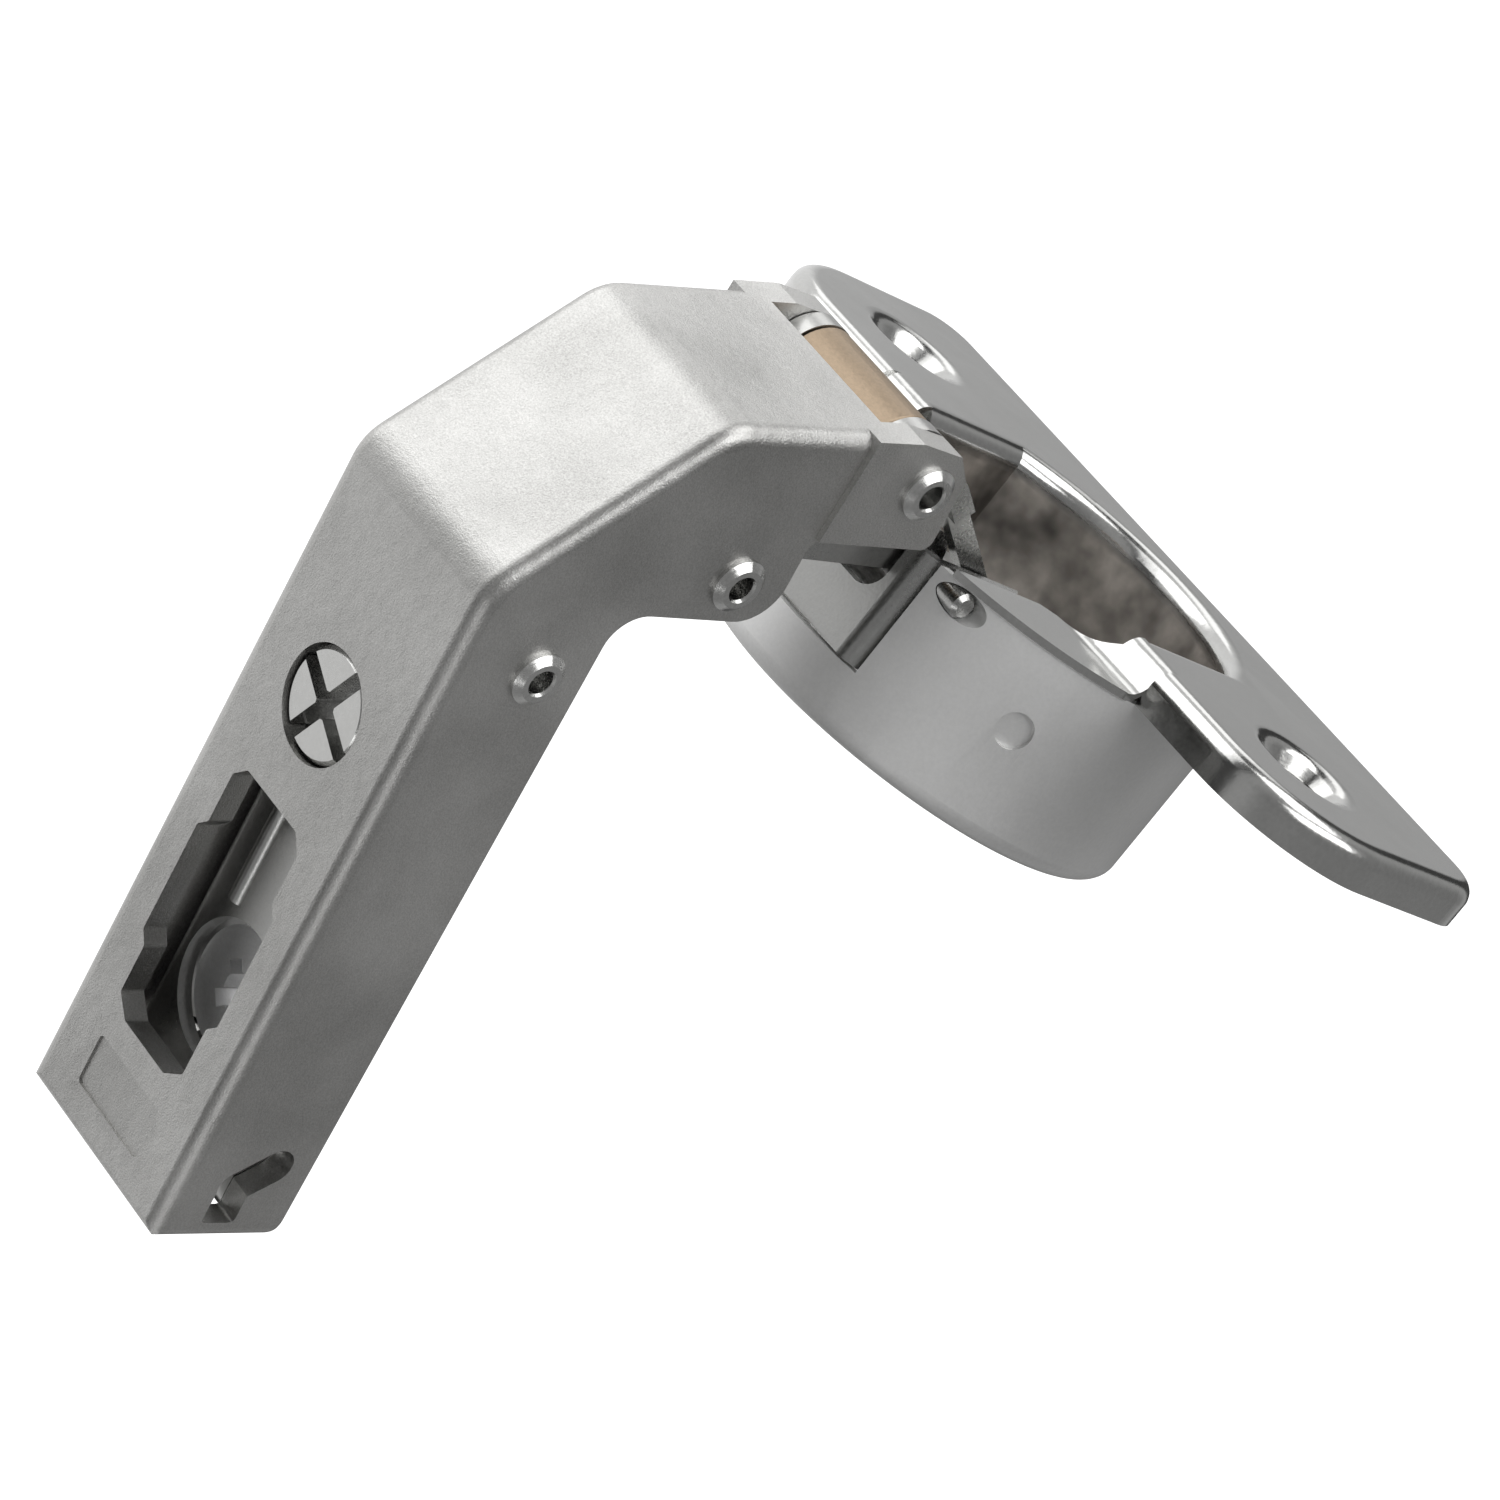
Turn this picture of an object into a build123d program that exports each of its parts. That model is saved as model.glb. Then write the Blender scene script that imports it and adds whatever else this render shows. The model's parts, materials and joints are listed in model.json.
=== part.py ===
from build123d import *
import math
import os

# Concealed cup hinge for a blind corner, shown fully open.
# X runs along the arm from its rear end to the bent head, Y is across the arm's depth,
# Z is the direction of every pivot pin, and Z = 0 is the plane of symmetry.
# Y = 0 is the open rim of the arm's channel. All sizes are in millimetres.

# Arm casting
arm_height = 10.8
arm_width = 17.0
arm_wall = 1.9
arm_length = 52.6
bevel_length = 18.4
bevel_angle = 44.3
head_angle = 88.0
head_wall_length = 13.2
head_depth = 14.3
shoulder_drop = 12.9
edge_round = 1.2
bend_round = 4.0
rear_round = 1.6
rear_corner = 0.9
rim_rise = 0.5
rim_drop = 0.5
ear_pad = 0.45

# Pins on the arm
hollow_depth = 1.8
rivet_radius = 1.25
rivet_head_radius = 1.95
rivet_head_height = 0.7
front_rivet_radius = 1.5
pivot_clearance = 0.05
side_gap = 0.1
adapter_place = (-6.3, -7.2)
inner_place = (-11.37, -6.55)
outer_place = (-3.07, -17.75)

# Window, screw hole and slots in the arm
window_start = 9.2
window_end = 29.5
window_half_width = 4.25
window_wide_start = 14.2
window_wide_end = 24.5
window_wide_half_width = 5.05
screw_place = 37.2
screw_radius = 3.85
screw_gap = 0.15
mark_start = 3.0
mark_length = 4.0
mark_width = 8.0
mark_depth = 0.15
key_lobe = Vector(4.4, 5.9)
key_end = Vector(6.1, 3.5)
key_radius = 1.4
key_hook_length = 3.4
key_hook_height = 2.7

# Adapter channel, cam and catch inside the arm
adapter_gap = 0.35
sheet = 1.2
adapter_drop = 4.4
adapter_rim = 0.9
adapter_start = 1.2
adapter_web_room = 5.3
adapter_eye = 2.6
cam_place = 13.7
cam_radius = 4.55
cam_gap = 0.5
cam_thickness = 1.6
cam_sink = 1.0
rib_offset = 3.2
rib_radius = 0.75
rib_height = 0.45
rib_start = 19.0
rib_end = 33.0
screw_neck_radius = 1.6
screw_foot_radius = 2.7
screw_foot = 0.9
screw_play = 0.55
catch_place = (6.2, -3.8)
catch_pin_radius = 1.0
catch_half_width = 3.4
catch_wire = 0.5

# Cup, measured from the top face of its flange
cup_radius = 17.5
cup_depth = 16.9
cup_wall = 0.8
cup_corner = 1.4
skirt = 3.05
flange_sheet = 0.9
flange_inner = 3.8
flange_outer = 19.3
flange_half_length = 33.7
flange_inner_corner = 9.5
flange_outer_corner = 3.8
flange_round = 1.3
pocket_radius = 15.2
pocket_half_width = 12.4
collar_depth = 9.0
ledge_half_width = 7.9
ledge_depth = 2.5
ledge_sheet = 0.55
ledge_end = 5.2
rim_lip = 0.25
ramp_top = 1.9
ramp_half_width = 13.0
screw_spacing = 48.0
screw_offset = 6.0
screw_hole_radius = 2.1
dimple_radius = 4.4
dimple_bend = 1.5
dimple_slope = 50.0
dimple_depth = 1.3
dent_radius = 1.35
dent_depth = 0.45
notch_half_width = 6.85
notch_bottom = 12.3
bracket_half_width = 6.6
bracket_sheet = 0.85
bracket_back = 15.0
bracket_reach = 6.3
bracket_notch_half_width = 4.3
bracket_notch_bottom = 7.9
pin_radius = 1.2
wall_pin_radius = 1.0
wall_pin_reach = 9.6

# Where the cup stands when the hinge is open
open_angle = 104.0
cup_offset = (-7.76, -23.58)
inner_cup_pivot = (-14.807, 4.2)
outer_cup_pivot = (-10.0, 7.414)

# Levers
lever_outside = 5.45
lever_inside = 4.2
lever_wall = 1.6
eye_radius = 3.2
sleeve_radius = 3.15
cup_eye_radius = 2.3
cup_pin_room = 1.1
inner_lever_half_width = 3.9
inner_lever_thickness = 2.4
slot_travel = 2.1
slot_play = 1.15
slot_wall = 1.3
slot_tilt = -2.12
lever_reach = 17.33

# Closing spring
spring_wire = 0.6
spring_turns = 2.5
coil_steps = 12
spring_reach = (7.0, -3.8)
shoe_radius = 1.4


os.makedirs("parts", exist_ok=True)


def prism(face, low, high):
    """The solid between two heights over a flat face."""
    return extrude(Pos(0, 0, low) * face, high - low)


def both_sides(face, inside, outside):
    """Two equal plates, one on each side of the plane of symmetry."""
    return prism(face, inside, outside) + prism(face, -outside, -inside)


def disc(centre, radius):
    return Pos(centre.X, centre.Y) * Circle(radius)


def bar(start, end, half_width):
    """A straight strip with round ends between two points."""
    return disc(start, half_width) + disc(end, half_width) + strip(start, end, -half_width, half_width)


def strip(start, end, right, left):
    """A straight strip whose sides lie right and left of the line."""
    along = (end - start).normalized()
    side = Vector(-along.Y, along.X)
    corners = [start + side * right, end + side * right, end + side * left, start + side * left]
    return make_face(Polyline(*[(p.X, p.Y) for p in corners], close=True))


def outline(*points):
    return make_face(Polyline(*points, close=True))


def rounded(face, point, radius):
    """Round the one corner of a flat face that lies nearest a point."""
    corner = min(face.vertices(), key=lambda v: math.hypot(v.X - point[0], v.Y - point[1]))
    return fillet(corner, radius)


def heading(angle):
    """Unit vector below the X direction by an angle in degrees."""
    return Vector(math.cos(math.radians(angle)), -math.sin(math.radians(angle)))


# Side view of the arm
top_bend = Vector(arm_length, arm_height)
head_bend = top_bend + heading(bevel_angle) * bevel_length
head_line = heading(head_angle)
head_end = head_bend + head_line * head_wall_length
head_back = head_bend.X - head_depth

# Pin places, and what hangs on them
adapter_pivot = top_bend + Vector(*adapter_place)
inner_pivot = head_bend + Vector(*inner_place)
outer_pivot = head_bend + Vector(*outer_place)
cup_centre = outer_pivot + Vector(*cup_offset)
spring_nose = adapter_pivot + Vector(*spring_reach)
spring_pitch = 2 * spring_wire + 0.1
coil_height = spring_pitch * spring_turns
coil_radius = rivet_radius + 0.3 + spring_wire
coil_gap = arm_width / 2 - arm_wall - adapter_gap - sheet - 0.3 - spring_wire - coil_height
adapter_top = arm_height - adapter_drop
catch_pivot = Vector(catch_place[0], adapter_top + catch_place[1])
through = 2 * arm_width
adapter_web_end = adapter_pivot.X - adapter_web_room
nose_tip = outer_pivot.Y - 2.9
nose_back = outer_pivot.X - 4.4
far_below = nose_tip - arm_height


def head_front(y):
    """X of the head's front face at a height."""
    return head_bend.X + (head_bend.Y - y) / math.tan(math.radians(head_angle))


def arm_side():
    """Outline of one cheek, with its rounded corners."""
    face = outline(
        (0, rim_rise),
        (0, arm_height),
        (top_bend.X, top_bend.Y),
        (head_bend.X, head_bend.Y),
        (head_front(nose_tip + 5.2), nose_tip + 5.2),
        (head_front(nose_tip) - 0.9, nose_tip + 1.5),
        (outer_pivot.X + 1.0, nose_tip),
        (nose_back, nose_tip),
        (nose_back, -shoulder_drop),
        (head_back, -shoulder_drop),
        (head_back, -rim_drop),
    )
    face = rounded(face, (0, rim_rise), rear_round)
    face = rounded(face, (0, arm_height), rear_corner)
    face = rounded(face, (top_bend.X, top_bend.Y), bend_round)
    face = rounded(face, (head_bend.X, head_bend.Y), bend_round)
    face = rounded(face, (head_back, -rim_drop), 2.6)
    face = rounded(face, (head_back, -shoulder_drop), 3.0)
    face = rounded(face, (nose_back, -shoulder_drop), 1.2)
    return rounded(face, (nose_back, nose_tip), 0.8)


def arm_blank():
    """Side view of the bent bar that the arm is cut from, longer than the arm at both ends."""
    face = outline(
        (-5, far_below),
        (-5, arm_height),
        (top_bend.X, top_bend.Y),
        (head_bend.X, head_bend.Y),
        (head_front(far_below), far_below),
    )
    face = rounded(face, (top_bend.X, top_bend.Y), bend_round)
    return rounded(face, (head_bend.X, head_bend.Y), bend_round)


def arm_hollow():
    """The channel under the arm's top wall, open below and past the head's end."""
    inner_top = arm_height - arm_wall
    half_bevel = math.radians(bevel_angle / 2)
    half_head = math.radians((head_angle - bevel_angle) / 2)
    first = Vector(arm_length - arm_wall * math.tan(half_bevel), inner_top)
    across = Vector(-math.sin(math.radians(head_angle)), -math.cos(math.radians(head_angle)))
    second = head_bend + across * arm_wall - head_line * (arm_wall * math.tan(half_head))
    last = head_end + across * arm_wall
    face = outline(
        (-5, far_below),
        (-5, inner_top),
        (first.X, first.Y),
        (second.X, second.Y),
        (last.X, last.Y),
        (head_end.X + 5, head_end.Y),
        (head_end.X + 5, far_below),
    )
    face = rounded(face, (first.X, first.Y), bend_round - arm_wall)
    return rounded(face, (second.X, second.Y), bend_round - arm_wall)


def arm_window():
    """The long window in the top face, wider along its middle, as a face in X and Z."""
    right = [
        (window_start, window_half_width - 1.6),
        (window_start + 1.2, window_half_width),
        (window_wide_start, window_half_width),
        (window_wide_start + 0.8, window_wide_half_width),
        (window_wide_end - 0.8, window_wide_half_width),
        (window_wide_end, window_half_width),
        (window_end - 1.1, window_half_width),
        (window_end, window_half_width - 1.1),
    ]
    left = [(x, -z) for x, z in reversed(right)]
    face = outline(*(right + left))
    return fillet(face.vertices(), 0.4)


def key_slot(grow):
    """Keyhole at the rear of each cheek: a slanted slot with a square hook, in side view."""
    hook = Pos(key_lobe.X - key_hook_length / 2 + 0.4, key_lobe.Y)
    hook = hook * RectangleRounded(key_hook_length + 2 * grow, key_hook_height + 2 * grow, 0.4)
    return bar(key_lobe, key_end, key_radius + grow) + hook


def from_top(face, depth):
    """Cut a face drawn in X and Z straight down from the arm's top face."""
    plane = Plane(origin=(0, arm_height + 1, 0), x_dir=(1, 0, 0), z_dir=(0, -1, 0))
    return plane * extrude(face, depth + 1)


def make_arm():
    half = arm_width / 2
    body = extrude(arm_blank(), half, both=True)
    body = fillet([e for e in body.edges() if on_top_side(e)], edge_round)
    body &= extrude(arm_side(), half + 1, both=True)
    plan = outline((0, -half), (head_bend.X + 10, -half), (head_bend.X + 10, half), (0, half))
    for side in (-half, half):
        plan = rounded(plan, (0, side), rear_corner)
    body &= from_top(plan, arm_height - far_below)
    body -= extrude(arm_hollow(), half - arm_wall, both=True)
    pad_top = head_end.Y + 1.6
    pad = outline(
        (nose_back, nose_tip),
        (outer_pivot.X + 1.0, nose_tip),
        (head_front(nose_tip) - 0.9, nose_tip + 1.5),
        (head_front(nose_tip + 5.2), nose_tip + 5.2),
        (head_front(pad_top), pad_top),
        (nose_back, pad_top + 0.6),
    )
    pad = rounded(pad, (nose_back, nose_tip), 0.8)
    body += both_sides(pad, half - arm_wall, half + ear_pad)
    body -= from_top(arm_window(), arm_wall + 2)
    body -= from_top(Pos(screw_place, 0) * Circle(screw_radius + screw_gap), arm_wall + 2)
    mark_centre = mark_start + mark_length / 2
    body -= from_top(Pos(mark_centre, 0) * RectangleRounded(mark_length, mark_width, 0.4), mark_depth)
    body -= both_sides(key_slot(0), half - arm_wall - 1, half + 1)
    for pivot in (adapter_pivot, inner_pivot):
        body -= extrude(disc(pivot, rivet_radius), half + 2, both=True)
    body -= extrude(disc(outer_pivot, front_rivet_radius), half + 2, both=True)
    return body


def on_top_side(edge):
    """True for the long outer edges of the blank's top, bevel and head front."""
    point = edge.center()
    outermost = abs(abs(point.Z) - arm_width / 2) < 0.01
    return outermost and (point.Y > arm_height - 1.3 or point.X > top_bend.X)


def make_rivet(pivot, radius, seat):
    """A round pin with a rounded, hollow head at each end."""
    hollow = rivet_head_radius * 0.46
    half = outline(
        (0, 0),
        (radius, 0),
        (radius, seat),
        (rivet_head_radius, seat),
        (rivet_head_radius, seat + 0.3),
        (rivet_head_radius * 0.74, seat + rivet_head_height),
        (hollow + 0.12, seat + rivet_head_height),
        (hollow, seat + rivet_head_height - 0.2),
        (hollow, seat - hollow_depth),
        (0, seat - hollow_depth),
    )
    end = revolve(Plane.XZ * half, Axis.Z)
    return Pos(pivot.X, pivot.Y) * (end + mirror(end, about=Plane.XY))


def make_adapter():
    """The folded channel that clips to a mounting plate, with ribs and a round hole for the cam."""
    outside = arm_width / 2 - arm_wall - adapter_gap
    inside = outside - sheet
    middle = (adapter_top + adapter_rim) / 2
    front = adapter_pivot.X - 8
    side = outline(
        (adapter_start, adapter_rim + 1.4),
        (adapter_start, adapter_top),
        (front + 2.0, adapter_top),
        (adapter_pivot.X, adapter_pivot.Y + adapter_eye),
        (adapter_pivot.X, adapter_pivot.Y - adapter_eye),
        (front, adapter_rim),
        (adapter_start + 6, adapter_rim),
    )
    side = side + disc(adapter_pivot, adapter_eye)
    cheeks = both_sides(side, inside, outside)
    web_length = adapter_web_end - adapter_start
    web = Pos(adapter_start + web_length / 2, adapter_top - sheet / 2, 0) * Box(
        web_length, sheet, 2 * outside
    )
    body = cheeks + web
    long_edges = [
        e for e in body.edges()
        if abs(e.center().Y - adapter_top) < 0.01
        and abs(abs(e.center().Z) - outside) < 0.01
        and e.length > web_length / 2
    ]
    body = fillet(long_edges, 0.8)
    for offset in (-rib_offset, rib_offset):
        rib = Pos((rib_start + rib_end) / 2, adapter_top - rib_radius + rib_height, offset)
        rib = rib * Rot(0, 90, 0) * Cylinder(rib_radius, rib_end - rib_start)
        body += rib & Pos(rib_end, adapter_top + 4.9, 0) * Box(4 * rib_end, 10, 2 * outside)
    body -= Pos(cam_place, middle, 0) * Rot(90, 0, 0) * Cylinder(cam_radius + cam_gap, through)
    neck = screw_neck_radius + 0.5
    body -= Pos(screw_place, middle, 0) * Rot(90, 0, 0) * Cylinder(neck, through)
    foot_way = Pos(screw_place + 2.6, middle, 0) * Rot(90, 0, 0)
    body -= foot_way * Cylinder(screw_foot_radius + 0.3, through)
    body -= extrude(disc(adapter_pivot, rivet_radius + pivot_clearance), through, both=True)
    body -= extrude(disc(catch_pivot, catch_pin_radius), through, both=True)
    way = key_slot(0.3) - Pos(0, arm_height) * Rectangle(2 * arm_length, 2 * (adapter_drop + sheet + 0.2))
    return body - both_sides(way, inside - 1, outside + 1)


def make_cam():
    """The depth cam: a disc in the adapter's round hole, with a notched hole for a driver."""
    top = adapter_top - cam_sink
    disc_body = Pos(cam_place, top - cam_thickness / 2, 0) * Rot(90, 0, 0) * Cylinder(cam_radius, cam_thickness)
    boss = Pos(cam_place + 0.9, top - cam_thickness - 0.8, 0) * Rot(90, 0, 0) * Cylinder(3.1, 1.6)
    rim_top = top - cam_thickness
    lip = Pos(cam_place, rim_top - 0.2, 0) * Rot(90, 0, 0) * Cylinder(cam_radius, 0.4)
    body = disc_body + boss + lip
    hole = Circle(1.5)
    for turn in range(4):
        hole += Rot(0, 0, 45 + 90 * turn) * Pos(1.5, 0) * Rectangle(1.6, 1.2)
    plane = Plane(origin=(cam_place, adapter_top + 1, 0), x_dir=(1, 0, 0), z_dir=(0, -1, 0))
    return body - plane * extrude(hole, 12)


def make_overlay_screw():
    """Adjusting screw: a cross-slotted head in the arm, a neck in the adapter and a foot below."""
    head_top = arm_height - 0.25
    head_low = adapter_top + screw_play
    head = Pos(screw_place, (head_top + head_low + 0.9) / 2, 0) * Rot(90, 0, 0)
    head = head * Cylinder(screw_radius, head_top - head_low - 0.9)
    collar = Pos(screw_place, head_low + 0.5, 0) * Rot(90, 0, 0) * Cylinder(screw_foot_radius, 1.0)
    foot_top = adapter_top - sheet - screw_play
    neck = Pos(screw_place, (head_low + foot_top) / 2, 0) * Rot(90, 0, 0)
    neck = neck * Cylinder(screw_neck_radius, head_low - foot_top + 0.4)
    foot = Pos(screw_place, foot_top - screw_foot / 2, 0) * Rot(90, 0, 0)
    foot = foot * Cylinder(screw_foot_radius, screw_foot)
    body = head + collar + neck + foot
    rim = [e for e in body.edges() if abs(e.center().Y - head_top) < 0.01]
    body = chamfer(rim, 0.3)
    slots = Circle(0.95)
    for turn in (27, 117):
        slots += Rot(0, 0, turn) * Rectangle(2 * screw_radius + 1, 1.15)
    plane = Plane(origin=(screw_place, head_top + 1, 0), x_dir=(1, 0, 0), z_dir=(0, -1, 0))
    return body - plane * extrude(slots, 1 + 1.7)


def make_catch():
    """The catch lever that hooks the mounting plate, turning on its own pin."""
    tail = Vector(2.2, catch_pivot.Y + 0.6)
    hook = Vector(catch_pivot.X - 2.6, -0.6)
    side = disc(catch_pivot, 1.9) + bar(catch_pivot, tail, 0.75) + bar(catch_pivot, hook, 1.1)
    side += bar(hook, hook + Vector(1.7, -0.5), 0.6)
    body = extrude(side, catch_half_width, both=True)
    room = disc(catch_pivot, 3.0)
    body -= extrude(room, 1.7, both=True)
    body += extrude(bar(tail, tail + Vector(1.2, 0.1), 0.75), catch_half_width, both=True)
    return body - extrude(disc(catch_pivot, catch_pin_radius + pivot_clearance), through, both=True)


def make_catch_pin():
    outside = arm_width / 2 - arm_wall - adapter_gap
    return extrude(disc(catch_pivot, catch_pin_radius), outside - 0.1, both=True)


def coil(radius, wire, pitch, turns):
    """A coil along Z built of short straight steps of six-sided wire."""
    points = []
    for step in range(round(turns * coil_steps) + 1):
        turn = 2 * math.pi * step / coil_steps
        points.append((radius * math.cos(turn), radius * math.sin(turn), pitch * step / coil_steps))
    path = Polyline(*points)
    section = Plane(origin=path @ 0, z_dir=path % 0) * RegularPolygon(wire, 6)
    return sweep(section, path=path, transition=Transition.RIGHT)


def make_catch_spring():
    """A small leg spring on the catch pin, one leg on the catch and one under the adapter."""
    wire = catch_wire / 2
    radius = catch_pin_radius + 0.2 + wire
    pitch = catch_wire + 0.08
    turns = 4
    winding = Pos(catch_pivot.X, catch_pivot.Y, -pitch * turns / 2) * coil(radius, wire, pitch, turns)
    start = Vector(catch_pivot.X + radius, catch_pivot.Y, -pitch * turns / 2)
    first = rod(start, start + Vector(0.2, 2.1, 0), wire)
    end = Vector(catch_pivot.X + radius, catch_pivot.Y, pitch * turns / 2)
    second = rod(end, end + Vector(0.5, -1.5, 0), wire)
    return winding + first + second


def rod(start, end, radius):
    """A six-sided rod that runs a little past two points."""
    line = end - start
    section = Plane(origin=start - line.normalized() * (radius / 2), z_dir=line) * RegularPolygon(radius, 6)
    return extrude(section, line.length + radius)


def make_closing_spring():
    """Double leg spring on the adapter pin; its bridge presses toward the inner lever."""
    wire = spring_wire
    winding = Pos(adapter_pivot.X, adapter_pivot.Y, coil_gap)
    winding = winding * coil(coil_radius, wire, spring_pitch, spring_turns)
    inner = Vector(adapter_pivot.X + coil_radius, adapter_pivot.Y, coil_gap)
    outer = Vector(adapter_pivot.X - coil_radius, adapter_pivot.Y, coil_gap + coil_height)
    nose = Vector(spring_nose.X, spring_nose.Y, coil_gap)
    side = winding + rod(inner, nose, wire) + rod(outer, outer + Vector(-0.6, 3.9, 0), wire)
    return side + mirror(side, about=Plane.XY) + rod(nose, Vector(nose.X, nose.Y, -coil_gap), wire)


def make_spring_shoe():
    """Plastic shoe clipped on the spring's bridge."""
    reach = coil_gap + spring_wire + 0.05
    body = extrude(disc(spring_nose, shoe_radius), reach + 1.35, both=True)
    body -= extrude(disc(spring_nose, spring_wire + 0.05), 5, both=True)
    along = spring_nose - Vector(adapter_pivot.X + coil_radius, adapter_pivot.Y)
    back = spring_nose - along.normalized() * 3
    slot = strip(back, spring_nose, -spring_wire - 0.05, spring_wire + 0.05)
    return body - extrude(slot, reach, both=True)


# Cup and what rides with it are drawn with the flange's top face at zero height,
# X away from the arm, and heights below the face negative.
depth_way = Vector(-math.sin(math.radians(open_angle)), -math.cos(math.radians(open_angle)))
away_way = Vector(math.cos(math.radians(open_angle)), -math.sin(math.radians(open_angle)))
cup_place = Plane(
    origin=(cup_centre.X, cup_centre.Y, 0),
    x_dir=(away_way.X, away_way.Y, 0),
    z_dir=(-depth_way.X, -depth_way.Y, 0),
)


def in_row(point):
    """A point of the cup, given as away and depth, in the hinge's own frame."""
    return cup_centre + away_way * point[0] + depth_way * point[1]


wall_pivot = in_row(inner_cup_pivot)
deep_pivot = in_row(outer_cup_pivot)


def opening():
    """Plan of the sheared edge round the levers: a channel that widens where the ramps begin."""
    side = [
        (-cup_radius - 5, ledge_half_width),
        (-ledge_end - 1.3, ledge_half_width),
        (-ledge_end, ledge_half_width + 0.8),
        (-ramp_top - 1.5, ramp_half_width),
        (2 * cup_radius, ramp_half_width),
    ]
    return outline(*(side + [(x, -z) for x, z in reversed(side)]))


def flange_outline(shrink=0.0):
    """Plan of the plate, wider rounded on the side toward the arm."""
    near = -flange_inner + shrink
    far = flange_outer - shrink
    half = flange_half_length - shrink
    face = outline((near, -half), (far, -half), (far, half), (near, half))
    for side in (-half, half):
        face = rounded(face, (near, side), flange_inner_corner - shrink)
        face = rounded(face, (far, side), flange_outer_corner - shrink)
    return face


def pocket(grow=0.0):
    """Plan of the deep pocket: a circle with two straight sides."""
    return Circle(pocket_radius + grow) & Rectangle(4 * pocket_radius, 2 * (pocket_half_width + grow))


def make_flange():
    """Pressed plate: raised strip with screw dimples, rolled pocket edge, ramps and a low ledge."""
    plate = prism(flange_outline() - pocket(), -skirt, 0)
    plate = fillet([e for e in plate.edges() if abs(e.center().Z) < 0.01], flange_round)
    plate -= prism(flange_outline(flange_sheet) - pocket(flange_sheet), -skirt - 1, -flange_sheet)
    ramp_half = math.sqrt(cup_radius ** 2 - flange_inner ** 2)
    plate -= Pos(-ramp_top - cup_radius, 0, 0) * Box(2 * cup_radius, 2 * ramp_half, 2 * cup_depth)
    right = Pos(2 * cup_radius - ramp_top, 0) * Rectangle(4 * cup_radius, 4 * cup_radius)
    ramp = make_face(
        Spline((-ledge_end, -ledge_depth), (-ramp_top, 0), tangents=((1, 0), (1, 0)))
        + Line((-ramp_top, 0), (-ramp_top, -flange_sheet))
        + Spline((-ramp_top, -flange_sheet), (-ledge_end, -ledge_depth - ledge_sheet), tangents=((-1, 0), (-1, 0)))
        + Line((-ledge_end, -ledge_depth - ledge_sheet), (-ledge_end, -ledge_depth))
    )
    ramps = extrude(Plane.XZ * ramp, 2 * cup_radius, both=True)
    reach = Circle(cup_radius + rim_lip) & Pos(-2 * cup_radius - ledge_end, 0) * Rectangle(
        4 * cup_radius, 4 * cup_radius
    )
    span = Pos(-(ledge_end + ramp_top) / 2, 0) * Rectangle(ledge_end - ramp_top, 2 * ramp_half)
    body = plate + (ramps & prism(span - opening(), -cup_depth, cup_depth))
    body += prism(reach - opening(), -ledge_depth - ledge_sheet, -ledge_depth)
    collar = (pocket(flange_sheet) - pocket()) & right
    body += prism(collar, -collar_depth, -flange_round - 0.05)
    slope = math.radians(dimple_slope)
    bend = (dimple_radius - dimple_bend * math.sin(slope), -dimple_bend * (1 - math.cos(slope)))
    low = bend[0] - (dimple_depth + bend[1]) / math.tan(slope)
    form = make_face(
        Polyline(bend, (low, -dimple_depth), (0, -dimple_depth), (0, 1), (dimple_radius, 1), (dimple_radius, 0))
        + TangentArc((dimple_radius, 0), bend, tangent=(-1, 0))
    )
    bowl = revolve(Plane.XZ * form, Axis.Z)
    for side in (-screw_spacing / 2, screw_spacing / 2):
        place = Pos(screw_offset, side)
        body += place * Pos(0, 0, -flange_sheet - dimple_depth / 2) * Cylinder(low + flange_sheet, dimple_depth)
        body -= place * bowl
        body -= place * Cylinder(screw_hole_radius, 2 * cup_depth)
    return cup_place * body


def make_cup():
    """Drawn round cup with a flat bottom and a slot in its wall for the levers."""
    top = ledge_depth + ledge_sheet
    outer = Pos(0, 0, -(top + cup_depth) / 2) * Cylinder(cup_radius, cup_depth - top)
    low = [e for e in outer.edges() if abs(e.center().Z + cup_depth) < 0.01]
    outer = fillet(low, cup_corner)
    inner = Pos(0, 0, -(top - 2 + cup_depth - cup_wall) / 2)
    inner = inner * Cylinder(cup_radius - cup_wall, cup_depth - cup_wall - top + 2)
    base = [e for e in inner.edges() if abs(e.center().Z + cup_depth - cup_wall) < 0.01]
    inner = chamfer(base, cup_corner - cup_wall)
    body = outer - inner
    slot = Pos(-cup_radius, 0, -(top - 2 + notch_bottom) / 2)
    body -= slot * Box(14, 2 * notch_half_width, notch_bottom - top + 2)
    away, depth = inner_cup_pivot
    body -= Pos(away, 0, -depth) * Rot(90, 0, 0) * Cylinder(wall_pin_radius + 0.05, 2 * cup_radius)
    for side in (-1, 1):
        dent = Rot(0, 0, side * 122) * Pos(cup_radius, 0, -8.8) * Rot(0, 90, 0)
        body -= dent * Cylinder(dent_radius, 2 * dent_depth)
    return cup_place * body


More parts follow.
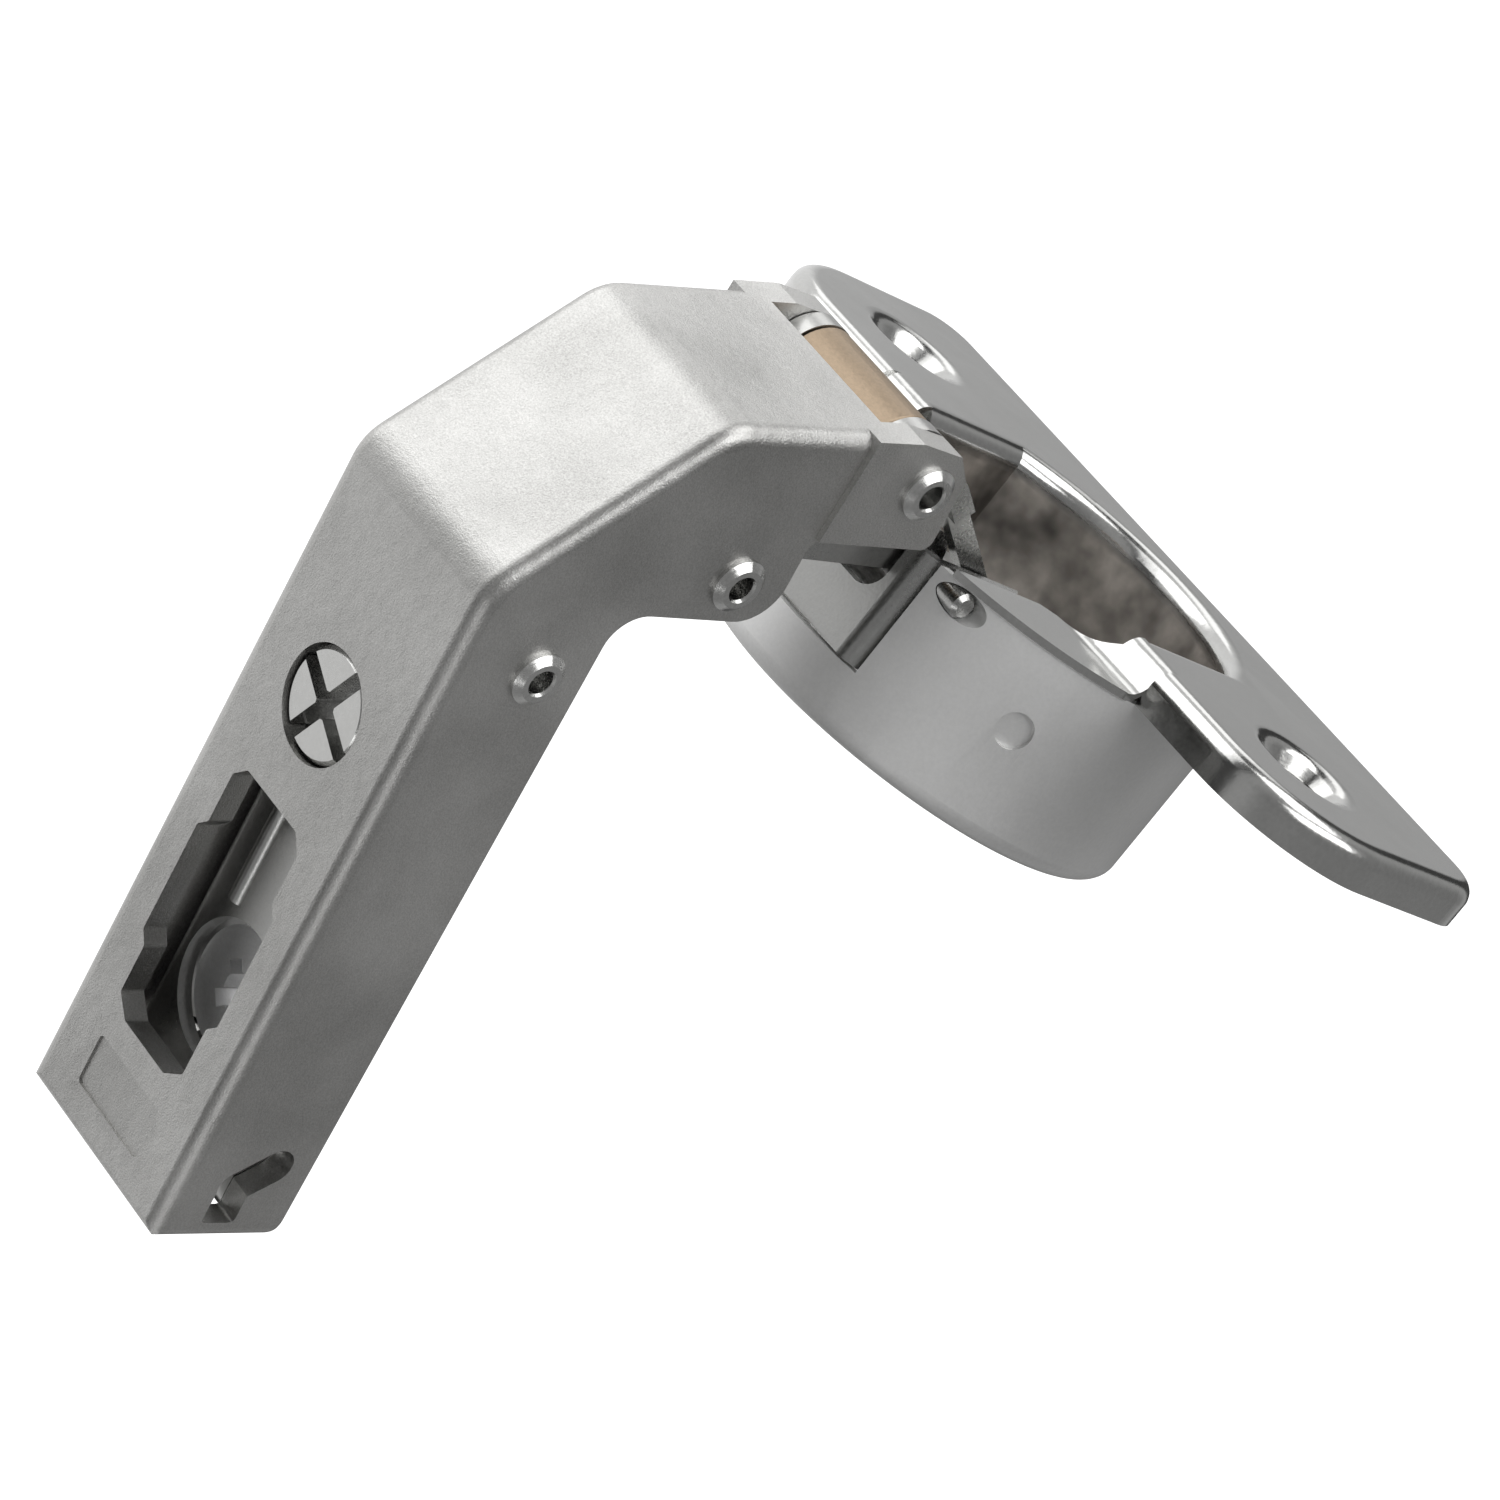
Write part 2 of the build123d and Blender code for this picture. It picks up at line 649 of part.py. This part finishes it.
def make_bracket():
    """Folded saddle in the cup's slot: front panel with a lever notch, two side plates."""
    plan = Pos(-(bracket_back + 1.75 + bracket_reach) / 2, 0) * RectangleRounded(
        bracket_back + 1.75 - bracket_reach, 2 * bracket_half_width, 1.6
    )
    room = Pos(-(bracket_back + 0.9 + bracket_reach - 4) / 2, 0) * RectangleRounded(
        bracket_back + 0.9 - bracket_reach + 4, 2 * (bracket_half_width - bracket_sheet), 0.75
    )
    plan -= room
    body = prism(plan, -notch_bottom + 0.15, -ledge_depth - ledge_sheet)
    notch = Pos(-bracket_back - 2, 0, -(bracket_notch_bottom + 1) / 2)
    notch = notch * Box(6, 2 * bracket_notch_half_width, bracket_notch_bottom - 1)
    low = [
        e for e in notch.edges()
        if abs(e.center().Z + bracket_notch_bottom) < 0.01 and abs(abs(e.center().Y) - bracket_notch_half_width) < 0.01
    ]
    body -= fillet(low, 2.0)
    foot_low = -cup_depth + cup_wall
    foot = Pos(-(bracket_reach + 3.2), 0, (foot_low - notch_bottom + 1) / 2)
    for side in (-1, 1):
        leg = Pos(0, side * (bracket_half_width - bracket_sheet / 2), 0) * foot
        body += leg * Box(5.0, bracket_sheet, 1 - foot_low - notch_bottom)
    for (away, depth), radius in ((inner_cup_pivot, wall_pin_radius), (outer_cup_pivot, pin_radius)):
        body -= Pos(away, 0, -depth) * Rot(90, 0, 0) * Cylinder(radius, 4 * bracket_half_width)
    return cup_place * body


def make_wall_pin():
    """Pin of the inner lever, its ends in the cup's wall."""
    body = extrude(disc(wall_pivot, wall_pin_radius), wall_pin_reach, both=True)
    ends = [e for e in body.edges() if abs(abs(e.center().Z) - wall_pin_reach) < 0.01]
    return chamfer(ends, 0.3)


def make_deep_pin():
    """Pin of the outer lever, held by the bracket's side plates."""
    return extrude(disc(deep_pivot, pin_radius), bracket_half_width + 0.4, both=True)


def make_outer_lever():
    """Two curved arms with eyes on the front pin, joined by a web and by the hub in the cup."""
    along = (deep_pivot - outer_pivot).normalized()
    side = Vector(-along.Y, along.X)
    reach = (deep_pivot - outer_pivot).length
    pin_side = (wall_pivot - outer_pivot).dot(side)
    near = pin_side + wall_pin_radius + cup_pin_room
    far = near + lever_wall
    hub_edge = cup_eye_radius

    def place(step, offset):
        point = outer_pivot + along * step + side * offset
        return (point.X, point.Y)

    arm_face = make_face(
        Polyline(
            place(3.4, near - 1.6),
            place(5.0, near),
            place(reach - 3.4, near),
            place(reach - 1.0, near - 1.6),
            place(reach - 0.6, -hub_edge * 0.6),
            place(reach + 1.0, 0),
            place(reach + hub_edge * 0.9, hub_edge * 0.9),
            place(reach + 0.2, far - 0.3),
            place(reach - 2.0, far),
            place(5.0, far),
            place(2.0, far - 0.5),
            place(3.3, near - 1.8),
            close=True,
        )
    )
    arm_face += disc(deep_pivot, cup_eye_radius)
    arm_face -= disc(outer_pivot, sleeve_radius + 0.3)
    body = both_sides(arm_face, lever_inside, lever_outside)
    eye_inside = lever_outside - 0.35
    eye_outside = arm_width / 2 - arm_wall - side_gap
    eye = disc(outer_pivot, eye_radius)
    eye += make_face(
        Polyline(
            place(0, -1.0),
            place(0, far - 0.6),
            place(5.0, far),
            place(7.5, far),
            place(7.5, near),
            place(5.0, near),
            close=True,
        )
    )
    body += both_sides(eye, eye_inside, eye_outside)
    web = make_face(
        Polyline(place(5.2, near), place(9.3, near), place(9.3, far), place(5.2, far), close=True)
    )
    body += extrude(web, lever_inside + 0.2, both=True)
    body += extrude(disc(deep_pivot, cup_eye_radius), lever_inside + 0.2, both=True)
    body -= extrude(disc(outer_pivot, front_rivet_radius + pivot_clearance), through, both=True)
    return body - extrude(disc(deep_pivot, pin_radius + pivot_clearance), through, both=True)


def make_sleeve():
    """Sleeve on the front pin between the outer lever's eyes."""
    half = lever_outside - 0.35 - side_gap
    body = extrude(disc(outer_pivot, sleeve_radius), half, both=True)
    rims = [e for e in body.edges() if abs(abs(e.center().Z) - half) < 0.01]
    body = chamfer(rims, 0.15)
    return body - extrude(disc(outer_pivot, front_rivet_radius + pivot_clearance), through, both=True)


def make_inner_lever():
    """Straight lever from the cup's wall pin to a slotted end round the arm's middle pin."""
    up = (inner_pivot - wall_pivot).normalized().rotate(Axis.Z, slot_tilt)
    middle = wall_pivot + up * lever_reach
    low_end = middle - up * slot_travel
    high_end = middle + up * slot_travel
    slot = rivet_radius + slot_play
    side = disc(wall_pivot, cup_eye_radius) + bar(wall_pivot, low_end, inner_lever_thickness / 2)
    side += bar(low_end, high_end, slot + slot_wall)
    side -= bar(low_end, high_end, slot)
    body = extrude(side, inner_lever_half_width, both=True)
    relief = bar(wall_pivot + up * 5.5, low_end - up * 3.6, 6.0)
    body -= prism(relief, 1.2, 2.6)
    body -= prism(relief, -2.6, -1.2)
    return body - extrude(disc(wall_pivot, wall_pin_radius + pivot_clearance), through, both=True)


def save(name, body):
    export_step(body, os.path.join("parts", name + ".step"))


half_arm = arm_width / 2

save("hinge_arm", make_arm())
save("adapter_pivot_rivet", make_rivet(adapter_pivot, rivet_radius, half_arm))
save("inner_lever_rivet", make_rivet(inner_pivot, rivet_radius, half_arm))
save("outer_lever_rivet", make_rivet(outer_pivot, front_rivet_radius, half_arm + ear_pad))
save("adapter_channel", make_adapter())
save("depth_cam", make_cam())
save("overlay_screw", make_overlay_screw())
save("catch_lever", make_catch())
save("catch_pin", make_catch_pin())
save("catch_spring", make_catch_spring())
save("closing_spring", make_closing_spring())
save("spring_shoe", make_spring_shoe())
save("outer_lever", make_outer_lever())
save("pivot_sleeve", make_sleeve())
save("inner_lever", make_inner_lever())
save("cup_shell", make_cup())
save("flange_plate", make_flange())
save("lever_bracket", make_bracket())
save("wall_pin", make_wall_pin())
save("deep_pin", make_deep_pin())
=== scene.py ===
import bpy
import json
import math
from mathutils import Matrix, Vector

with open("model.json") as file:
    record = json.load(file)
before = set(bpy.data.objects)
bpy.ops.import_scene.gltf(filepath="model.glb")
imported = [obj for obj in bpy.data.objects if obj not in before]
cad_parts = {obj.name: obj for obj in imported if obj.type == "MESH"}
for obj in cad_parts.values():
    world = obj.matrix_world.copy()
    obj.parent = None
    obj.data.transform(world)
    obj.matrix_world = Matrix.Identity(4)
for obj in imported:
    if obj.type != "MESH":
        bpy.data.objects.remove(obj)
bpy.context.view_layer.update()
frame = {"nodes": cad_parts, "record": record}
nodes = frame["nodes"]


# Camera, fitted to the photograph. The focal length is in the photograph's pixels.
photo_width = 1500.0
focal_length = 6793.04
sensor_width = 36.0
picture_right = Vector((0.4385887, -0.7323210, 0.5209161))
picture_up = Vector((0.7879978, 0.0346891, -0.6146920))
picture_back = Vector((0.4320882, 0.6800806, 0.5922824))
camera_place = Vector((0.2318582, 0.2821714, 0.2694573))

camera_data = bpy.data.cameras.new("camera")
camera_data.sensor_width = sensor_width
camera_data.lens = sensor_width * focal_length / photo_width
camera_data.clip_start = 0.01
camera_data.clip_end = 20.0
camera = bpy.data.objects.new("camera", camera_data)
bpy.context.scene.collection.objects.link(camera)
camera_matrix = Matrix((picture_right, picture_up, picture_back)).transposed().to_4x4()
camera_matrix.translation = camera_place
camera.matrix_world = camera_matrix
bpy.context.scene.camera = camera


# Short ways to build node trees

def feed(tree, socket, value):
    """Sets an input to a number or colour, or links another node's output to it."""
    if isinstance(value, bpy.types.NodeSocket):
        tree.links.new(value, socket)
    elif isinstance(value, tuple):
        socket.default_value = (*value, 1.0)
    else:
        socket.default_value = value


def calculate(tree, kind, *values):
    """One arithmetic node."""
    node = tree.nodes.new("ShaderNodeMath")
    node.operation = kind
    for socket, value in zip(node.inputs, values):
        feed(tree, socket, value)
    return node.outputs["Value"]


def change(tree, value, low, high, start, end, smooth=False):
    """Goes from low to high while value goes from start to end."""
    node = tree.nodes.new("ShaderNodeMapRange")
    if smooth:
        node.interpolation_type = "SMOOTHSTEP"
    node.inputs["From Min"].default_value = start
    node.inputs["From Max"].default_value = end
    node.inputs["To Min"].default_value = low
    node.inputs["To Max"].default_value = high
    tree.links.new(value, node.inputs["Value"])
    return node.outputs["Result"]


def seen_directly(tree, rays):
    """1 for rays from the camera, also through glass, and 0 for the others."""
    return calculate(tree, "MAXIMUM", rays["Is Camera Ray"], rays["Is Transmission Ray"])


class Look:
    """A material and its nodes."""

    def __init__(self, name):
        self.material = bpy.data.materials.new(name)
        self.material.use_nodes = True
        self.tree = self.material.node_tree
        self.shader = self.tree.nodes["Principled BSDF"]
        self.coords = self.add("TexCoord").outputs["Object"]

    def add(self, kind, **values):
        node = self.tree.nodes.new("ShaderNode" + kind)
        for key, value in values.items():
            setattr(node, key, value)
        return node

    def link(self, output, socket):
        self.tree.links.new(output, socket)

    def noise(self, scale, detail=2.0, rough=0.5):
        node = self.add("TexNoise")
        node.inputs["Scale"].default_value = scale
        node.inputs["Detail"].default_value = detail
        node.inputs["Roughness"].default_value = rough
        self.link(self.coords, node.inputs["Vector"])
        return node.outputs["Fac"]

    def span(self, value, low, high, start=0.3, end=0.7, smooth=False):
        """The default start and end are about the lowest and highest values of a noise."""
        return change(self.tree, value, low, high, start, end, smooth)

    def math(self, kind, *values):
        return calculate(self.tree, kind, *values)

    def blend(self, factor, first, second):
        """Mixes two colours: the first where factor is 0, the second where it is 1."""
        node = self.add("Mix", data_type="RGBA")
        feed(self.tree, node.inputs[6], first)
        feed(self.tree, node.inputs[7], second)
        self.link(factor, node.inputs[0])
        return node.outputs[2]

    def bump(self, height, depth, below=None):
        """Relief of that depth in metres, on top of the relief below."""
        node = self.add("Bump")
        node.inputs["Strength"].default_value = 1.0
        node.inputs["Distance"].default_value = depth
        self.link(height, node.inputs["Height"])
        if below:
            self.link(below, node.inputs["Normal"])
        return node.outputs["Normal"]


# What all metals share
slow_scale = 70.0
grain_share = 0.45
grain_gloss = 0.02
sharp_start = 0.51
sharp_end = 0.56
edge_wear = 0.15
worn_gain = 1.25


def metal(name, dark, light, rough, grain, grain_depth, waves=0.0, wave_scale=0.0):
    """Metal with fine grain, slow changes of tone and gloss, and brighter worn edges."""
    m = Look(name)
    m.shader.inputs["Metallic"].default_value = 1.0
    fine = m.noise(grain, detail=3.0, rough=0.6)
    slow = m.noise(slow_scale, detail=3.0, rough=0.55)
    fine_tone = m.math("MULTIPLY", m.span(fine, 0.0, 1.0), grain_share)
    slow_tone = m.math("MULTIPLY", m.span(slow, 0.0, 1.0), 1.0 - grain_share)
    colour = m.blend(m.math("ADD", fine_tone, slow_tone), dark, light)
    sharpness = m.add("NewGeometry").outputs["Pointiness"]
    edge = m.span(sharpness, 0.0, edge_wear, sharp_start, sharp_end)
    worn = tuple(min(1.0, part * worn_gain) for part in light)
    m.link(m.blend(edge, colour, worn), m.shader.inputs["Base Color"])
    gloss_change = m.span(fine, -grain_gloss, grain_gloss)
    gloss = m.math("ADD", m.span(slow, rough[0], rough[1]), gloss_change)
    m.link(gloss, m.shader.inputs["Roughness"])
    normal = m.bump(fine, grain_depth)
    if waves:
        normal = m.bump(m.noise(wave_scale, rough=0.4), waves, below=normal)
    m.link(normal, m.shader.inputs["Normal"])
    return m


# Painted light and shade on the pocket's wall: mottled pale and dark patches that brighten the dim
# pocket and darken it in spots. It grows in below the flange's top and away from the levers.
cup_depth = 0.0169
pocket_radius = 0.0154
pocket_fade = 0.0004
painted_below_top = (0.0011, 0.0019)
painted_past_middle = (0.0015, 0.003)
broad_scale = 150.0
spot_scale = 700.0
pocket_painted_shade = (0.13, 0.12, 0.11)
pocket_painted_light = (0.66, 0.61, 0.56)
pocket_wall_dulling = 0.28


def paint_pocket_light_and_shade(m):
    """Duller metal with mottled painted light and shade on the pocket's drawn wall, below the
    flange's top face.
    """
    cup_wall = next(mount for mount in frame["record"]["mounts"] if mount["name"] == "cup_wall")
    depth_way = Vector(cup_wall["axis"])
    pin_way = Vector((0.0, 0.0, 1.0))
    away_way = pin_way.cross(depth_way)
    offset = m.add("VectorMath", operation="SUBTRACT")
    offset.inputs[1].default_value = Vector(cup_wall["pos_m"]) - depth_way * cup_depth
    m.link(m.coords, offset.inputs[0])

    def along(way):
        node = m.add("VectorMath", operation="DOT_PRODUCT")
        node.inputs[1].default_value = way
        m.link(offset.outputs["Vector"], node.inputs[0])
        return node.outputs["Value"]

    away = along(away_way)
    sideways = along(pin_way)
    square = m.math("ADD", m.math("MULTIPLY", away, away), m.math("MULTIPLY", sideways, sideways))
    radius = m.math("SQRT", square)
    inside = m.span(radius, 1.0, 0.0, pocket_radius, pocket_radius + pocket_fade)
    below = m.span(along(depth_way), 0.0, 1.0, *painted_below_top)
    past = m.span(away, 0.0, 1.0, *painted_past_middle)
    painted_area = m.math("MULTIPLY", m.math("MULTIPLY", inside, below), past)

    # Painted light and shade: pale and dark patches mixed into the wall's colour where the mask is
    # on.
    broad = m.span(m.noise(broad_scale, detail=3.0, rough=0.55), 0.0, 1.0, 0.36, 0.6)
    spots = m.span(m.noise(spot_scale), 0.7, 1.0, 0.35, 0.6)
    painted_mottle = m.blend(m.math("MULTIPLY", broad, spots), pocket_painted_shade, pocket_painted_light)
    colour = m.shader.inputs["Base Color"].links[0].from_socket
    m.link(m.blend(painted_area, colour, painted_mottle), m.shader.inputs["Base Color"])
    gloss = m.shader.inputs["Roughness"].links[0].from_socket
    dull = m.math("MULTIPLY", painted_area, pocket_wall_dulling)
    m.link(m.math("ADD", gloss, dull), m.shader.inputs["Roughness"])


def dress(look, *names):
    """Gives these CAD nodes the look's material."""
    for name in names:
        mesh = nodes[name].data
        mesh.materials.clear()
        mesh.materials.append(look.material)


dress(
    metal(
        "arm_casting", dark=(0.245, 0.243, 0.235), light=(0.58, 0.577, 0.565), rough=(0.32, 0.42),
        grain=7800.0, grain_depth=0.00003, waves=0.00004, wave_scale=900.0,
    ),
    "hinge_arm",
)
dress(
    metal(
        "adapter_steel", dark=(0.33, 0.33, 0.325), light=(0.44, 0.44, 0.43), rough=(0.28, 0.38),
        grain=3800.0, grain_depth=0.000012,
    ),
    "adapter_channel", "catch_lever",
)
# The cam's pale tone is partly its own zinc colour and partly painted light, brightening a part
# that little light reaches.
dress(
    metal(
        "cam_zinc", dark=(0.56, 0.56, 0.56), light=(0.72, 0.72, 0.72), rough=(0.50, 0.60),
        grain=4200.0, grain_depth=0.00002,
    ),
    "depth_cam",
)
dress(
    metal(
        "screw_steel", dark=(0.42, 0.42, 0.41), light=(0.56, 0.56, 0.55), rough=(0.22, 0.30),
        grain=3000.0, grain_depth=0.00001,
    ),
    "overlay_screw",
)
dress(
    metal(
        "rivet_steel", dark=(0.42, 0.42, 0.41), light=(0.60, 0.60, 0.59), rough=(0.20, 0.28),
        grain=3600.0, grain_depth=0.00001, waves=0.00002, wave_scale=500.0,
    ),
    "adapter_pivot_rivet", "inner_lever_rivet", "outer_lever_rivet", "catch_pin", "deep_pin",
)
dress(
    metal(
        "lever_steel", dark=(0.30, 0.30, 0.295), light=(0.42, 0.42, 0.41), rough=(0.24, 0.34),
        grain=4200.0, grain_depth=0.000012,
    ),
    "outer_lever", "inner_lever", "lever_bracket", "wall_pin",
)

flange_look = metal(
    "flange_steel", dark=(0.43, 0.43, 0.42), light=(0.53, 0.53, 0.52), rough=(0.15, 0.22),
    grain=3000.0, grain_depth=0.000006, waves=0.00008, wave_scale=160.0,
)
# Mottled painted light and shade on the pocket's wall, with a rougher wall there.
paint_pocket_light_and_shade(flange_look)
dress(flange_look, "flange_plate")

dress(
    metal(
        "shell_steel", dark=(0.64, 0.64, 0.635), light=(0.76, 0.76, 0.755), rough=(0.54, 0.62),
        grain=3400.0, grain_depth=0.000006, waves=0.00004, wave_scale=120.0,
    ),
    "cup_shell",
)
dress(
    metal(
        "sleeve_metal", dark=(0.18, 0.14, 0.10), light=(0.34, 0.265, 0.19), rough=(0.40, 0.52),
        grain=3600.0, grain_depth=0.00002,
    ),
    "pivot_sleeve",
)
dress(
    metal(
        "spring_wire", dark=(0.22, 0.21, 0.20), light=(0.34, 0.33, 0.31), rough=(0.30, 0.40),
        grain=4200.0, grain_depth=0.00001,
    ),
    "catch_spring", "closing_spring",
)

plastic = Look("shoe_plastic")
speck = plastic.noise(2400.0)
speckled = plastic.blend(speck, (0.018, 0.018, 0.018), (0.035, 0.035, 0.035))
plastic.link(speckled, plastic.shader.inputs["Base Color"])
plastic.link(plastic.span(speck, 0.42, 0.56), plastic.shader.inputs["Roughness"])
plastic.link(plastic.bump(speck, 0.00001), plastic.shader.inputs["Normal"])
dress(plastic, "spring_shoe")


# Plain pale floor, well below the hinge, which is held by its arm
floor_reach = 6.0
floor_level = -0.5
floor_corners = [
    (x * floor_reach, y * floor_reach, floor_level) for x, y in ((-1, -1), (1, -1), (1, 1), (-1, 1))
]
floor_mesh = bpy.data.meshes.new("floor")
floor_mesh.from_pydata(floor_corners, [], [(0, 1, 2, 3)])
floor = bpy.data.objects.new("floor", floor_mesh)
bpy.context.scene.collection.objects.link(floor)

floor_look = Look("floor")
floor_look.shader.inputs["Roughness"].default_value = 0.9
floor_look.shader.inputs["Emission Color"].default_value = (1.0, 1.0, 1.0, 1.0)
floor_mottle = floor_look.add("TexNoise")
floor_mottle.inputs["Scale"].default_value = 3.0
pale = floor_look.blend(floor_mottle.outputs["Fac"], (0.84, 0.84, 0.84), (0.87, 0.87, 0.87))

# The metal mirrors the pale floor under the hinge, a dim studio past its edge and one grey card
floor_rays = floor_look.add("LightPath").outputs
mirrored_glow = 0.62
dim_grey = (0.16, 0.16, 0.16)
pool_middle = (0.15, 0.0, floor_level)
pool_edge = (0.95, 1.15)
card_middle = (0.14, -0.95, floor_level)
card_edge = (0.25, 0.62)
card_strength = 0.52


def floor_fade(centre, edge, low, high):
    """Smooth change from low to high across an edge at those distances from a point."""
    node = floor_look.add("VectorMath", operation="DISTANCE")
    node.inputs[1].default_value = centre
    floor_look.link(floor_look.coords, node.inputs[0])
    return floor_look.span(node.outputs["Value"], low, high, *edge, smooth=True)


border = floor_fade(pool_middle, pool_edge, 0.0, 1.0)
card = floor_fade(card_middle, card_edge, card_strength, 0.0)
darker = floor_look.math("MAXIMUM", border, card)
dimmed = floor_look.math("MULTIPLY", darker, floor_rays["Is Glossy Ray"])
floor_look.link(floor_look.blend(dimmed, pale, dim_grey), floor_look.shader.inputs["Base Color"])
bright = floor_look.math("SUBTRACT", floor_rays["Is Glossy Ray"], dimmed)
floor_seen = seen_directly(floor_look.tree, floor_rays)
floor_glow = floor_look.math("MULTIPLY_ADD", bright, mirrored_glow, floor_seen)
floor_look.link(floor_glow, floor_look.shader.inputs["Emission Strength"])
floor_mesh.materials.append(floor_look.material)


# Studio surround: white to the camera, and to the hinge grey and dimmer overhead
side_glow = 0.45
top_glow = 0.27
side_height = 0.08
top_height = 0.5
world = bpy.data.worlds.new("world")
bpy.context.scene.world = world
world.use_nodes = True
sky = world.node_tree
direction = sky.nodes.new("ShaderNodeTexCoord").outputs["Generated"]
direction_parts = sky.nodes.new("ShaderNodeSeparateXYZ")
sky.links.new(direction, direction_parts.inputs["Vector"])
surround = change(
    sky, direction_parts.outputs["Z"], side_glow, top_glow, side_height, top_height, smooth=True
)
sky_seen = seen_directly(sky, sky.nodes.new("ShaderNodeLightPath").outputs)
background = sky.nodes["Background"]
background.inputs["Color"].default_value = (1.0, 1.0, 1.0, 1.0)
sky.links.new(calculate(sky, "MAXIMUM", surround, sky_seen), background.inputs["Strength"])


hinge_middle = Vector((0.04, -0.02, 0.0))


def softbox(name, direction, distance, width, height, glow):
    """A soft light in a direction from the hinge, facing it, whose face glows that much."""
    data = bpy.data.lights.new(name, "AREA")
    data.shape = "RECTANGLE"
    data.size = width
    data.size_y = height
    data.energy = glow * math.pi * width * height
    light = bpy.data.objects.new(name, data)
    bpy.context.scene.collection.objects.link(light)
    way = Vector(direction).normalized()
    light.location = hinge_middle + way * distance
    light.rotation_euler = way.to_track_quat("Z", "Y").to_euler()
    light.visible_camera = False


# Mirrored by the arm's head, by its front, by the cup's left side, and by the rounded edges
softbox("head_light", (0.67, 0.30, -0.55), distance=0.45, width=0.46, height=0.38, glow=1.75)
softbox("front_light", (0.58, -0.55, -0.5), distance=0.45, width=0.18, height=0.3, glow=1.1)
softbox("mouth_light", (0.95, -0.3, 0.2), distance=0.45, width=0.3, height=0.3, glow=3.2)
softbox("ridge_light", (-0.45, 0.62, 0.65), distance=0.6, width=0.2, height=0.16, glow=2.4)
softbox("edge_light", (0.62, -0.1, 0.74), distance=0.6, width=0.6, height=0.24, glow=4.2)

view = bpy.context.scene.view_settings
view.view_transform = "Standard"
